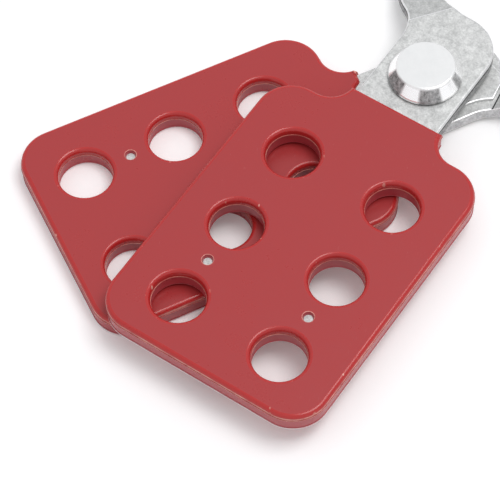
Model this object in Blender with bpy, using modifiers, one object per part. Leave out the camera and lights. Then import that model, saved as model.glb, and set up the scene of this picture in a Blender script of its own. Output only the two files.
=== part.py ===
"""Scissor lockout hasp: two riveted steel jaw plates with moulded handles.

Both halves are the same pair of pieces. The front half is modelled first, with
the pivot on the Z axis, its handle towards -Y and its jaw arm on the -X side.
The rear half is that half turned over about the Y axis, so that the handles
stack flat and each jaw arm lies in the other half's layer. The rear half stays
on the row axes, and the front half is then opened about the pivot.
"""

import math

import bmesh
import bpy
from mathutils import Matrix, Vector

# Handle (metres; the pivot is at x = 0, y = 0)
HANDLE_WIDTH = 0.0444
HANDLE_LENGTH = 0.0591
HANDLE_THICKNESS = 0.0042
HANDLE_CORNER_RADIUS = 0.0068
HANDLE_LIP_RADIUS = 0.0010
PIVOT_TO_SHOULDER = 0.0141
SHOULDER_FILLET_RADIUS = 0.0046
SLEEVE_LENGTH = 0.0046
SLEEVE_WALL = 0.0010
RIM_WALL = 0.0016

# Padlock holes
HOLE_RADIUS = 0.0049
HOLE_COLUMNS = 2
HOLE_ROWS = 3
HOLE_COLUMN_PITCH = 0.0210
SHOULDER_TO_HOLE = 0.0135
HOLE_TO_END = 0.0100
TUBE_WALL = 0.0014
PIN_HOLE_RADIUS = 0.00105

# Steel jaw plate
STEEL_THICKNESS = 0.0028
STEEL_EDGE_RADIUS = 0.0003
TANG_CORNER_RADIUS = 0.0050
TANG_FILLET_RADIUS = 0.0015
NECK_WIDTH = 0.0172
BOSS_RADIUS = 0.0082
PAD_MARGIN = 0.0020
JAW_RADIUS = 0.0127
JAW_ARM_WIDTH = 0.0074
PIVOT_TO_JAW_CENTRE = 0.0283
ROOT_FILLET_RADIUS = 0.0084
JAW_TIP_OVERLAP = math.radians(18.0)

# Joggle that carries each jaw arm into the other half's layer
JOGGLE_DIRECTION = math.radians(141.3)
JOGGLE_SLOPE = math.radians(20.0)
PIVOT_TO_CREASE = 0.0128

# Rivet
RIVET_SHANK_RADIUS = 0.0036
RIVET_HEAD_RADIUS = 0.0068
RIVET_FLAT_RADIUS = 0.0052
RIVET_HEAD_HEIGHT = 0.0030
RIVET_HEAD_EDGE_RADIUS = 0.0005
RIVET_TAIL_RADIUS = 0.0056
RIVET_TAIL_DEPTH = 0.0020

# Fits and pose
CLEARANCE = 0.00025
LAYER_GAP = 0.0003
OPENING_ANGLE = math.radians(30.4)

# Turns
QUARTER = math.pi / 2
HALF_TURN = math.pi
FULL_TURN = 2 * math.pi

# Facets
ARC_STEP = math.radians(10.0)
HOLE_SEGMENTS = 24
RIVET_SEGMENTS = 36

# Levels of the front half, from the rear handle's underside
MID_PLANE = HANDLE_THICKNESS + LAYER_GAP / 2
HANDLE_CENTRE = MID_PLANE + (LAYER_GAP + HANDLE_THICKNESS) / 2
STEEL_TOP = HANDLE_CENTRE + STEEL_THICKNESS / 2
PAD_BOTTOM = MID_PLANE + LAYER_GAP / 2
JOGGLE_DROP = STEEL_TOP - (MID_PLANE - LAYER_GAP / 2)

# Places along the handle
SHOULDER_Y = -PIVOT_TO_SHOULDER
SLEEVE_END_Y = SHOULDER_Y + SLEEVE_LENGTH
HANDLE_END_Y = SHOULDER_Y - HANDLE_LENGTH
FIRST_ROW_Y = SHOULDER_Y - SHOULDER_TO_HOLE
LAST_ROW_Y = HANDLE_END_Y + HOLE_TO_END
HOLE_ROW_PITCH = (FIRST_ROW_Y - LAST_ROW_Y) / (HOLE_ROWS - 1)
PIN_ROW_Y = LAST_ROW_Y + HOLE_ROW_PITCH / 2

# Places on the jaw
JAW_CENTRE = Vector((0.0, PIVOT_TO_JAW_CENTRE))
JAW_OUTER_RADIUS = JAW_RADIUS + JAW_ARM_WIDTH
BOSS_CENTRE = Vector((NECK_WIDTH / 2 - BOSS_RADIUS, PIVOT_TO_JAW_CENTRE - JAW_RADIUS - BOSS_RADIUS))
JOGGLE_NORMAL = Vector((math.cos(JOGGLE_DIRECTION), math.sin(JOGGLE_DIRECTION)))
INNER_CREASE = PIVOT_TO_CREASE - STEEL_THICKNESS * math.tan(JOGGLE_SLOPE / 2)
JOGGLE_RUN = JOGGLE_DROP / math.tan(JOGGLE_SLOPE)

NYLON_COLOUR = (0.42, 0.065, 0.068, 1.0)
STEEL_COLOUR = (0.66, 0.67, 0.67, 1.0)
RIVET_COLOUR = (0.82, 0.83, 0.83, 1.0)


def clear_scene():
    for item in list(bpy.data.objects):
        bpy.data.objects.remove(item, do_unlink=True)


def new_collection(name):
    collection = bpy.data.collections.new(name)
    bpy.context.scene.collection.children.link(collection)
    return collection


def make_material(name, colour, metallic, roughness):
    material = bpy.data.materials.new(name)
    material.use_nodes = True
    shader = material.node_tree.nodes["Principled BSDF"]
    shader.inputs["Base Color"].default_value = colour
    shader.inputs["Metallic"].default_value = metallic
    shader.inputs["Roughness"].default_value = roughness
    material.diffuse_color = colour
    return material


# ---------------------------------------------------------------- outlines

def arc(centre, radius, start, end):
    """Points on an arc from the start angle to the end angle, both included."""
    steps = max(2, math.ceil(abs(end - start) / ARC_STEP))
    points = []
    for index in range(steps + 1):
        angle = start + (end - start) * index / steps
        points.append(Vector((centre[0] + radius * math.cos(angle), centre[1] + radius * math.sin(angle))))
    return points


def circle(centre, radius, segments):
    """Points of a circle, run clockwise as the holes of an outline are."""
    points = []
    for index in range(segments):
        angle = -FULL_TURN * index / segments
        points.append(Vector((centre[0] + radius * math.cos(angle), centre[1] + radius * math.sin(angle))))
    return points


def mirrored(points):
    """The left side that matches a right side, in the order that closes it."""
    return [Vector((-point.x, point.y)) for point in reversed(points)]


def hole_centres():
    """Centres of the padlock holes, row by row from the pivot."""
    centres = []
    for row in range(HOLE_ROWS):
        for column in range(HOLE_COLUMNS):
            x = (column - (HOLE_COLUMNS - 1) / 2) * HOLE_COLUMN_PITCH
            centres.append(Vector((x, FIRST_ROW_Y - row * HOLE_ROW_PITCH)))
    return centres


def pin_centres():
    """Centres of the mould-pin holes, between the two last rows of holes."""
    centres = []
    for column in range(HOLE_COLUMNS):
        x = (column - (HOLE_COLUMNS - 1) / 2) * HOLE_COLUMN_PITCH
        centres.append(Vector((x, PIN_ROW_Y)))
    return centres


def handle_outline():
    """Outer edge of the moulded handle, counterclockwise."""
    half_width = HANDLE_WIDTH / 2
    sleeve_half_width = NECK_WIDTH / 2 + SLEEVE_WALL
    corner = HANDLE_CORNER_RADIUS
    fillet = min(SHOULDER_FILLET_RADIUS, SLEEVE_LENGTH)
    right = arc((half_width - corner, HANDLE_END_Y + corner), corner, -QUARTER, 0.0)
    right += arc((half_width - corner, SHOULDER_Y - corner), corner, 0.0, QUARTER)
    right += arc((sleeve_half_width + fillet, SHOULDER_Y + fillet), fillet, -QUARTER, -HALF_TURN)
    right.append(Vector((sleeve_half_width, SLEEVE_END_Y)))
    return right + mirrored(right)


def tang_side(grow):
    """Right side of the tang, from its end to the neck."""
    half_width = HANDLE_WIDTH / 2 - RIM_WALL + grow
    neck_half_width = NECK_WIDTH / 2 + grow
    corner = TANG_CORNER_RADIUS + grow
    fillet = TANG_FILLET_RADIUS - grow
    end_y = HANDLE_END_Y + RIM_WALL - grow
    top_y = SHOULDER_Y - RIM_WALL + grow
    side = arc((half_width - corner, end_y + corner), corner, -QUARTER, 0.0)
    side += arc((half_width - corner, top_y - corner), corner, 0.0, QUARTER)
    side += arc((neck_half_width + fillet, top_y + fillet), fillet, -QUARTER, -HALF_TURN)
    return side


def cavity_outline():
    """Outline of the room that the handle keeps for the tang and the neck."""
    side = tang_side(CLEARANCE)
    side.append(Vector((side[-1].x, SLEEVE_END_Y + SLEEVE_LENGTH)))
    return side + mirrored(side)


def root_fillet():
    """Fillet between the neck and the jaw's outer edge: centre and end angle."""
    x = -(NECK_WIDTH / 2 + ROOT_FILLET_RADIUS)
    reach = JAW_OUTER_RADIUS + ROOT_FILLET_RADIUS
    y = JAW_CENTRE.y - math.sqrt(reach ** 2 - x ** 2)
    centre = Vector((x, y))
    return centre, math.atan2(JAW_CENTRE.y - y, -x)


def plate_outline():
    """Outer edge of the flat steel plate, counterclockwise, jaw arm on the left."""
    side = tang_side(0.0)
    fillet_centre, fillet_angle = root_fillet()
    tip_angle = QUARTER - JAW_TIP_OVERLAP
    tip_radius = JAW_ARM_WIDTH / 2
    tip_direction = Vector((math.cos(tip_angle), math.sin(tip_angle)))
    tip_centre = JAW_CENTRE + tip_direction * (JAW_RADIUS + tip_radius)
    outline = list(side)
    outline += arc(BOSS_CENTRE, BOSS_RADIUS, 0.0, QUARTER)
    outline += arc(JAW_CENTRE, JAW_RADIUS, -QUARTER, tip_angle - FULL_TURN)
    outline += arc(tip_centre, tip_radius, tip_angle - HALF_TURN, tip_angle)[1:-1]
    outline += arc(JAW_CENTRE, JAW_OUTER_RADIUS, tip_angle, HALF_TURN + fillet_angle)
    outline += arc(fillet_centre, ROOT_FILLET_RADIUS, fillet_angle, 0.0)[1:]
    return without_repeats(outline + mirrored(side))


def crossing_angle(centre, radius, side):
    """Angle at which a circle meets the line where the joggle starts inside."""
    reach = INNER_CREASE - JOGGLE_NORMAL.dot(centre)
    return JOGGLE_DIRECTION + side * math.acos(reach / radius)


def pad_outline():
    """Raised bearing pad around the pivot, a margin inside the plate's edge."""
    half_width = NECK_WIDTH / 2 - PAD_MARGIN
    lower_y = SLEEVE_END_Y + PAD_MARGIN
    jaw_side = JAW_RADIUS + PAD_MARGIN
    fillet_centre = root_fillet()[0]
    fillet_side = ROOT_FILLET_RADIUS + PAD_MARGIN
    jaw_angle = crossing_angle(JAW_CENTRE, jaw_side, 1)
    fillet_angle = crossing_angle(fillet_centre, fillet_side, -1)
    corner_x = half_width - PAD_MARGIN
    corner_y = lower_y + PAD_MARGIN
    outline = arc((corner_x, corner_y), PAD_MARGIN, -QUARTER, 0.0)
    outline += arc(BOSS_CENTRE, BOSS_RADIUS - PAD_MARGIN, 0.0, QUARTER)
    outline += arc(JAW_CENTRE, jaw_side, -QUARTER, jaw_angle - FULL_TURN)
    outline += arc(fillet_centre, fillet_side, fillet_angle, 0.0)
    outline += arc((-corner_x, corner_y), PAD_MARGIN, HALF_TURN, HALF_TURN + QUARTER)
    return without_repeats(outline)


def without_repeats(points):
    """The closed outline with each point that repeats its neighbour left out."""
    kept = []
    for point in points:
        if not kept or (point - kept[-1]).length > CLEARANCE / 10:
            kept.append(point)
    if (kept[0] - kept[-1]).length <= CLEARANCE / 10:
        kept.pop()
    return kept


# ------------------------------------------------------------ mesh helpers

def flat_solid(name, outlines, thickness, centre_z, edge_radius, collection):
    """A plate cut to outlines, with rounded edges, as one welded mesh object."""
    curve = bpy.data.curves.new(name, "CURVE")
    curve.dimensions = "2D"
    curve.fill_mode = "BOTH"
    curve.extrude = thickness / 2 - edge_radius
    curve.bevel_depth = edge_radius
    curve.bevel_resolution = 0
    curve.offset = -edge_radius
    for outline in outlines:
        spline = curve.splines.new("POLY")
        spline.points.add(len(outline) - 1)
        for point, place in zip(spline.points, outline):
            point.co = (place.x, place.y, 0.0, 1.0)
        spline.use_cyclic_u = True
    shape = bpy.data.objects.new(name + "_outline", curve)
    collection.objects.link(shape)
    bpy.context.view_layer.update()
    depsgraph = bpy.context.evaluated_depsgraph_get()
    mesh = bpy.data.meshes.new_from_object(shape.evaluated_get(depsgraph))
    bpy.data.objects.remove(shape, do_unlink=True)
    bm = bmesh.new()
    bm.from_mesh(mesh)
    bmesh.ops.remove_doubles(bm, verts=bm.verts, dist=1e-6)
    bmesh.ops.recalc_face_normals(bm, faces=bm.faces)
    bmesh.ops.translate(bm, verts=bm.verts, vec=(0.0, 0.0, centre_z))
    bm.to_mesh(mesh)
    bm.free()
    mesh.name = name
    solid = bpy.data.objects.new(name, mesh)
    collection.objects.link(solid)
    return solid


def prism(name, outline, low_z, high_z, collection):
    """A plain straight-sided solid over an outline."""
    return flat_solid(name, [outline], high_z - low_z, (low_z + high_z) / 2, 0.0, collection)


def turned_solid(name, profile, segments, collection):
    """A solid turned about the Z axis from a profile that starts and ends on it."""
    mesh = bpy.data.meshes.new(name)
    places = [(radius, 0.0, height) for radius, height in profile]
    mesh.from_pydata(places, [(index, index + 1) for index in range(len(places) - 1)], [])
    solid = bpy.data.objects.new(name, mesh)
    collection.objects.link(solid)
    screw = solid.modifiers.new("turn", "SCREW")
    screw.axis = "Z"
    screw.steps = segments
    screw.render_steps = segments
    screw.use_merge_vertices = True
    screw.merge_threshold = 0.00001
    return solid


def combine(solid, tool, operation):
    """Add a tool to a solid or cut it away, and keep the result as its mesh."""
    boolean = solid.modifiers.new(tool.name, "BOOLEAN")
    boolean.operation = operation
    boolean.solver = "EXACT"
    boolean.object = tool
    bpy.context.view_layer.update()
    depsgraph = bpy.context.evaluated_depsgraph_get()
    mesh = bpy.data.meshes.new_from_object(solid.evaluated_get(depsgraph))
    solid.modifiers.clear()
    solid.data = mesh
    mesh.name = solid.name


def hide_cutter(cutter):
    cutter.hide_render = True
    cutter.display_type = "WIRE"


def cut_crease(bm, distance):
    """Cut the plate along one crease, in a plane that halves the bend."""
    place = JOGGLE_NORMAL * distance
    tilt = JOGGLE_SLOPE / 2
    normal = Vector((*(JOGGLE_NORMAL * math.cos(tilt)), -math.sin(tilt)))
    geometry = bm.verts[:] + bm.edges[:] + bm.faces[:]
    bmesh.ops.bisect_plane(bm, geom=geometry, dist=1e-7, plane_co=(*place, STEEL_TOP), plane_no=normal)


def joggle_arm(plate):
    """Step the jaw arm down with two bends that keep the steel's thickness."""
    bm = bmesh.new()
    bm.from_mesh(plate.data)
    cut_crease(bm, PIVOT_TO_CREASE)
    cut_crease(bm, PIVOT_TO_CREASE + JOGGLE_RUN)
    for vertex in bm.verts:
        depth = (STEEL_TOP - vertex.co.z) / STEEL_THICKNESS
        start = PIVOT_TO_CREASE + (INNER_CREASE - PIVOT_TO_CREASE) * depth
        past = (JOGGLE_NORMAL.dot(vertex.co.xy) - start) / JOGGLE_RUN
        if vertex.co.y > JAW_CENTRE.y:
            past = 1.0
        vertex.co.z -= JOGGLE_DROP * min(1.0, max(0.0, past))
    bm.to_mesh(plate.data)
    bm.free()


def finish(solid, material):
    """Give a piece its material, smooth round faces and a triangulated mesh."""
    bm = bmesh.new()
    bm.from_mesh(solid.data)
    bmesh.ops.dissolve_degenerate(bm, edges=bm.edges, dist=1e-7)
    bmesh.ops.triangulate(bm, faces=bm.faces)
    bm.to_mesh(solid.data)
    bm.free()
    solid.data.materials.clear()
    solid.data.materials.append(material)
    solid.data.shade_smooth()
    solid.data.set_sharp_from_angle(angle=math.radians(35.0))


# ----------------------------------------------------------------- pieces

def build_jaw_plate(name, material, parts, cutters):
    """Steel plate: tang with holes, neck, boss, bearing pad and stepped jaw arm."""
    outlines = [plate_outline()]
    for centre in hole_centres():
        outlines.append(circle(centre, HOLE_RADIUS + TUBE_WALL, HOLE_SEGMENTS))
    plate = flat_solid(name, outlines, STEEL_THICKNESS, HANDLE_CENTRE, STEEL_EDGE_RADIUS, parts)
    joggle_arm(plate)
    pad = prism(name + "_pad", pad_outline(), PAD_BOTTOM, HANDLE_CENTRE, cutters)
    combine(plate, pad, "UNION")
    hide_cutter(pad)
    bore = circle((0.0, 0.0), RIVET_SHANK_RADIUS + CLEARANCE, RIVET_SEGMENTS)
    bore_low_z = PAD_BOTTOM - STEEL_THICKNESS
    bore_high_z = STEEL_TOP + STEEL_THICKNESS
    drill = prism(name + "_pivot_bore", bore, bore_low_z, bore_high_z, cutters)
    combine(plate, drill, "DIFFERENCE")
    hide_cutter(drill)
    finish(plate, material)
    return plate


def build_handle(name, material, parts, cutters):
    """Moulded handle: rounded cover, room for the tang, hole tubes and pin marks."""
    outlines = [handle_outline()]
    for centre in hole_centres():
        outlines.append(circle(centre, HOLE_RADIUS, HOLE_SEGMENTS))
    handle = flat_solid(name, outlines, HANDLE_THICKNESS, HANDLE_CENTRE, HANDLE_LIP_RADIUS, parts)
    room = [cavity_outline()]
    for centre in hole_centres():
        room.append(circle(centre, HOLE_RADIUS + TUBE_WALL - CLEARANCE, HOLE_SEGMENTS))
    cavity_height = STEEL_THICKNESS + 2 * CLEARANCE
    cavity = flat_solid(name + "_cavity", room, cavity_height, HANDLE_CENTRE, 0.0, cutters)
    combine(handle, cavity, "DIFFERENCE")
    hide_cutter(cavity)
    for number, centre in enumerate(pin_centres(), start=1):
        mark = circle(centre, PIN_HOLE_RADIUS, HOLE_SEGMENTS // 2)
        reach = HANDLE_THICKNESS
        pin = prism(f"{name}_pin_{number}", mark, HANDLE_CENTRE - reach, HANDLE_CENTRE + reach, cutters)
        combine(handle, pin, "DIFFERENCE")
        hide_cutter(pin)
    finish(handle, material)
    return handle


def build_rivet(name, material, parts):
    """Solid rivet: tapered head above, shank, countersunk tail level with the base."""
    head_z = STEEL_TOP + CLEARANCE
    top_z = head_z + RIVET_HEAD_HEIGHT
    edge = RIVET_HEAD_EDGE_RADIUS
    profile = [(0.0, top_z), (RIVET_FLAT_RADIUS - edge, top_z), (RIVET_FLAT_RADIUS, top_z - edge / 2)]
    profile += [(RIVET_HEAD_RADIUS, head_z + edge), (RIVET_HEAD_RADIUS, head_z)]
    profile += [(RIVET_SHANK_RADIUS, head_z), (RIVET_SHANK_RADIUS, RIVET_TAIL_DEPTH)]
    profile += [(RIVET_TAIL_RADIUS, edge), (RIVET_TAIL_RADIUS - edge, 0.0), (0.0, 0.0)]
    rivet = turned_solid(name, profile, RIVET_SEGMENTS, parts)
    depsgraph = bpy.context.evaluated_depsgraph_get()
    mesh = bpy.data.meshes.new_from_object(rivet.evaluated_get(depsgraph))
    rivet.modifiers.clear()
    rivet.data = mesh
    finish(rivet, material)
    return rivet


def countersink(plate, cutters):
    """Cut the rear plate for the rivet's tail, the clearance wider all round."""
    deep = RIVET_TAIL_DEPTH + CLEARANCE
    slope = (RIVET_TAIL_RADIUS - RIVET_SHANK_RADIUS) / (RIVET_TAIL_DEPTH - RIVET_HEAD_EDGE_RADIUS)
    inner = RIVET_SHANK_RADIUS + CLEARANCE
    outer = inner + slope * 2 * deep
    profile = [(0.0, deep + CLEARANCE), (inner, deep + CLEARANCE), (outer, -deep + CLEARANCE)]
    profile.append((0.0, -deep + CLEARANCE))
    cone = turned_solid("countersink", profile, RIVET_SEGMENTS, cutters)
    combine(plate, cone, "DIFFERENCE")
    hide_cutter(cone)


def turn_over(solid):
    """Turn a front piece over about the Y axis, through the middle plane."""
    middle = Matrix.Translation((0.0, 0.0, MID_PLANE))
    flip = Matrix.Rotation(HALF_TURN, 4, "Y")
    solid.data.transform(middle @ flip @ middle.inverted())


def main():
    clear_scene()
    parts = new_collection("lockout_hasp")
    cutters = new_collection("cutters")
    nylon = make_material("red_nylon", NYLON_COLOUR, 0.0, 0.38)
    steel = make_material("zinc_plated_steel", STEEL_COLOUR, 1.0, 0.32)
    bright = make_material("bright_rivet_steel", RIVET_COLOUR, 1.0, 0.18)

    pivot = bpy.data.objects.new("front_half_pivot", None)
    parts.objects.link(pivot)
    front_plate = build_jaw_plate("front_jaw_plate", steel, parts, cutters)
    front_handle = build_handle("front_handle", nylon, parts, cutters)
    for piece in (front_plate, front_handle):
        piece.parent = pivot
    pivot.rotation_euler = (0.0, 0.0, OPENING_ANGLE)

    rear_plate = build_jaw_plate("rear_jaw_plate", steel, parts, cutters)
    rear_handle = build_handle("rear_handle", nylon, parts, cutters)
    for piece in (rear_plate, rear_handle):
        turn_over(piece)
    countersink(rear_plate, cutters)
    finish(rear_plate, steel)
    build_rivet("pivot_rivet", bright, parts)


main()
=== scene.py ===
"""Scissor lockout hasp: two riveted zinc-plated jaws with moulded red handles.

The hasp lies on a white floor with its jaws part open. Each half is a steel jaw
plate whose tang sits in a moulded nylon handle with six padlock holes, and one
solid rivet holds the two halves together. All sizes are in metres.
"""

from __future__ import annotations

import logging
import math
from dataclasses import dataclass
from enum import Enum, IntEnum
from typing import Callable

import bmesh
import bpy
from mathutils import Matrix, Vector


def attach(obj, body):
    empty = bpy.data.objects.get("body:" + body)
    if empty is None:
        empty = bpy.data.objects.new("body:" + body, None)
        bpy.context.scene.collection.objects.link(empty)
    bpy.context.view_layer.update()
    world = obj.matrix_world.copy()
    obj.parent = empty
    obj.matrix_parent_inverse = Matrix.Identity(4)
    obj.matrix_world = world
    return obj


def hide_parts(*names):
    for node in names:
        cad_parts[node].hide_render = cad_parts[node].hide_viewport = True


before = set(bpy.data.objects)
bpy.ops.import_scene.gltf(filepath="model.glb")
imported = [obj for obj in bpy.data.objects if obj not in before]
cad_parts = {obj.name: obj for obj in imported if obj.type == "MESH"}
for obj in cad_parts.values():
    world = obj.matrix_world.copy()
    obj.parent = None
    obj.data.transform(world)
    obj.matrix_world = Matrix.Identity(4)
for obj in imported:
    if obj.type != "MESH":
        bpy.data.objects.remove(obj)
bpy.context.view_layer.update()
TOUCH = 1e-6
QUARTER = math.pi / 2
HALF_TURN = math.pi
FULL_TURN = 2 * math.pi
WALL_TILT = 0.1
FLAT_TILT = 0.98
UNDERSIDE_TILT = -0.9
SMOOTH_ANGLE = math.radians(38.0)
log = logging.getLogger("lockout_hasp")

Colour = tuple[float, float, float, float]
Face = bmesh.types.BMFace
Material = bpy.types.Material
Node = bpy.types.Node
Piece = bpy.types.Object
Socket = bpy.types.NodeSocket


class Half(Enum):
    """The two halves of the hasp."""

    FRONT = "front"
    REAR = "rear"


class Element(Enum):
    """What an edit-mode selection is made of."""

    EDGE = "EDGE"
    FACE = "FACE"


class NylonSlot(IntEnum):
    """Material slots of a moulded handle."""

    COVER = 0
    WALL = 1
    FLASH = 2
    LIP_PAINTED_GLOW = 3
    BORE_PAINTED_LIGHT = 4
    FOOT_PAINTED_REFLECTION = 5


class SteelSlot(IntEnum):
    """Material slots of a jaw plate."""

    SHEET = 0
    UPPER_WALL = 1
    LOWER_WALL = 2
    # Painted crease line: a painted highlight on the front plate and painted shade on the rear one.
    CREASE = 3
    RIM_WEAR_AND_HIGHLIGHT = 4


def rgb(red: float, green: float, blue: float) -> Colour:
    """An opaque colour."""
    return (red, green, blue, 1.0)


def grey(tone: float) -> Colour:
    """An opaque grey."""
    return rgb(tone, tone, tone)


def heading(angle: float) -> Vector:
    """Unit vector at an angle from the x axis."""
    return Vector((math.cos(angle), math.sin(angle)))


def level(face: Face) -> float:
    """Height of a face's centre."""
    return face.calc_center_median().z


def is_wall(face: Face) -> bool:
    """Whether a face stands upright."""
    return abs(face.normal.z) < WALL_TILT


def is_rounding(face: Face) -> bool:
    """Whether a face leans, as the facets of a rounded rim do."""
    return WALL_TILT < abs(face.normal.z) < FLAT_TILT


@dataclass(frozen=True)
class HaspSizes:
    """Sizes shared by the pieces, with the pivot at x = 0, y = 0."""

    handle_width: float = 0.0444
    handle_length: float = 0.0591
    handle_thickness: float = 0.0042
    pivot_to_shoulder: float = 0.0141
    sleeve_length: float = 0.0046
    sleeve_wall: float = 0.0010
    rim_wall: float = 0.0016
    hole_radius: float = 0.0049
    hole_columns: int = 2
    hole_rows: int = 3
    column_pitch: float = 0.0210
    shoulder_to_hole: float = 0.0135
    hole_to_end: float = 0.0100
    tube_wall: float = 0.0014
    steel_thickness: float = 0.0028
    neck_width: float = 0.0172
    jaw_radius: float = 0.0127
    arm_width: float = 0.0074
    pivot_to_jaw: float = 0.0283
    shank_radius: float = 0.0036
    clearance: float = 0.00025
    layer_gap: float = 0.0003
    opening_angle: float = math.radians(30.4)

    @property
    def middle(self) -> float:
        """Height of the plane between the two halves."""
        return self.handle_thickness + self.layer_gap / 2

    @property
    def front_base(self) -> float:
        """Height of the front handle's underside."""
        return self.middle + self.layer_gap / 2

    @property
    def steel_top(self) -> float:
        """Height of the front plate's upper face."""
        return self.front_base + (self.handle_thickness + self.steel_thickness) / 2

    @property
    def cover(self) -> float:
        """Thickness of the nylon over each face of the steel."""
        return (self.handle_thickness - self.steel_thickness) / 2

    @property
    def shoulder_y(self) -> float:
        """Where the handle's shoulders lie."""
        return -self.pivot_to_shoulder

    @property
    def end_y(self) -> float:
        """Where the handle's far end lies."""
        return self.shoulder_y - self.handle_length

    def hole_centres(self) -> list[Vector]:
        """Centres of the padlock holes of a half that is not opened.

        Returns:
            One point for each hole, row by row from the pivot.
        """
        first = self.shoulder_y - self.shoulder_to_hole
        pitch = (first - self.end_y - self.hole_to_end) / (self.hole_rows - 1)
        across = [(column - (self.hole_columns - 1) / 2) * self.column_pitch
                  for column in range(self.hole_columns)]
        return [Vector((x, first - row * pitch)) for row in range(self.hole_rows) for x in across]

    def pin_centres(self) -> list[Vector]:
        """Centres of the mould-pin holes, between the two last rows of holes.

        Returns:
            One point for each column.
        """
        centres = self.hole_centres()
        lower = centres[-self.hole_columns:]
        upper = centres[-2 * self.hole_columns:-self.hole_columns]
        return [(low + high) / 2 for low, high in zip(lower, upper)]


# ---------------------------------------------------------------- workbench

class Bench:
    """Short names for the modelling steps that every piece uses."""

    NORMAL_WEIGHT = 80

    @staticmethod
    def clear() -> None:
        """Leave edit mode and deselect everything."""
        if bpy.context.mode != "OBJECT":
            bpy.ops.object.mode_set(mode="OBJECT")
        bpy.ops.object.select_all(action="DESELECT")

    @staticmethod
    def take(piece: Piece) -> None:
        """Select one object and make it the active one.

        Args:
            piece: the object to select.
        """
        Bench.clear()
        piece.select_set(True)
        bpy.context.view_layer.objects.active = piece

    @staticmethod
    def settle() -> None:
        """Put the selected object's place, turn and scale in its mesh."""
        bpy.ops.object.transform_apply(location=True, rotation=True, scale=True)

    @staticmethod
    def edit(piece: Piece) -> None:
        """Open an object in edit mode with nothing selected.

        Args:
            piece: the object to edit.
        """
        Bench.take(piece)
        bpy.ops.object.mode_set(mode="EDIT")
        bpy.ops.mesh.select_mode(type="VERT")
        bpy.ops.mesh.select_all(action="DESELECT")

    @staticmethod
    def pick(piece: Piece, kind: Element, test: Callable[..., bool]) -> None:
        """Select just the edges or faces that pass a test, in edit mode.

        Args:
            piece: the object being edited.
            kind: whether edges or faces are picked.
            test: takes an edge or a face and says whether it is wanted.
        """
        bpy.ops.mesh.select_mode(type=kind.value)
        bpy.ops.mesh.select_all(action="DESELECT")
        shape = bmesh.from_edit_mesh(piece.data)
        elements = shape.edges if kind is Element.EDGE else shape.faces
        for element in [element for element in elements if test(element)]:
            element.select_set(True)
        bmesh.update_edit_mesh(piece.data)

    @staticmethod
    def assign(piece: Piece, slot: IntEnum) -> None:
        """Give the selected faces the material of one slot."""
        piece.active_material_index = slot
        bpy.ops.object.material_slot_assign()

    @staticmethod
    def paint(piece: Piece, slot: IntEnum, test: Callable[[Face], bool]) -> None:
        """Give the faces that pass a test the material of one slot."""
        Bench.pick(piece, Element.FACE, test)
        Bench.assign(piece, slot)

    @staticmethod
    def slots(piece: Piece, finishes: list[Material]) -> None:
        """Replace a piece's material slots by a list of finishes.

        Args:
            piece: the piece to dress.
            finishes: its materials, in the order of its slots.
        """
        piece.data.materials.clear()
        for finish in finishes:
            piece.data.materials.append(finish)

    @staticmethod
    def face_outwards() -> None:
        """Select the whole mesh that is edited and turn its faces outwards."""
        bpy.ops.mesh.select_all(action="SELECT")
        bpy.ops.mesh.normals_make_consistent(inside=False)

    @staticmethod
    def raise_face(rise: float) -> None:
        """Extrude the selected face straight up, or down where the rise is negative."""
        bpy.ops.mesh.extrude_region_move(TRANSFORM_OT_translate={"value": (0.0, 0.0, rise)})

    @staticmethod
    def round_rim(piece: Piece, height: float, radius: float, segments: int) -> None:
        """Round the edges that lie all at one height.

        Args:
            piece: the object being edited.
            height: the height of the rim.
            radius: how far the rounding reaches.
            segments: how many facets it has.
        """
        def on_rim(edge: bmesh.types.BMEdge) -> bool:
            """Whether both ends lie on the rim and the edge is a real corner."""
            flat = all(abs(vertex.co.z - height) < TOUCH for vertex in edge.verts)
            return flat and edge.calc_face_angle(0.0) > QUARTER / 2
        Bench.pick(piece, Element.EDGE, on_rim)
        bpy.ops.mesh.bevel(offset=radius, segments=segments, affect="EDGES", clamp_overlap=False)

    @staticmethod
    def apply(piece: Piece, kind: str, **settings: object) -> None:
        """Add a modifier with its settings and apply it.

        Args:
            piece: the piece that gets the modifier.
            kind: the modifier's type.
            settings: values of its properties.
        """
        Bench.take(piece)
        bpy.ops.object.modifier_add(type=kind)
        modifier = piece.modifiers[-1]
        for name, value in settings.items():
            setattr(modifier, name, value)
        bpy.context.view_layer.update()
        bpy.ops.object.modifier_apply(modifier=modifier.name)

    @staticmethod
    def combine(piece: Piece, tool: Piece, operation: str) -> None:
        """Join a tool to a piece or cut it away, then remove the tool."""
        Bench.apply(piece, "BOOLEAN", operation=operation, solver="EXACT", object=tool)
        bpy.data.objects.remove(tool, do_unlink=True)

    @staticmethod
    def turned(name: str, centre: Vector, profile: list[tuple[float, float]],
               segments: int) -> Piece:
        """A solid turned about an upright axis.

        Args:
            name: the new object's name.
            centre: where the axis stands.
            profile: radius and height of each ring, from the lowest up.
            segments: how many sides each ring has.

        Returns:
            The new object, with its place in its mesh.
        """
        Bench.clear()
        radius, height = profile[0]
        bpy.ops.mesh.primitive_circle_add(vertices=segments, radius=radius, fill_type="NGON",
                                          location=(centre.x, centre.y, height))
        solid = bpy.context.object
        solid.name = name
        Bench.settle()
        Bench.edit(solid)
        bpy.ops.mesh.select_all(action="SELECT")
        for next_radius, next_height in profile[1:]:
            Bench.raise_face(next_height - height)
            factor = next_radius / radius
            bpy.ops.transform.resize(value=(factor, factor, 1.0),
                                     center_override=(centre.x, centre.y, next_height))
            radius, height = next_radius, next_height
        Bench.face_outwards()
        Bench.clear()
        return solid

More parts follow.
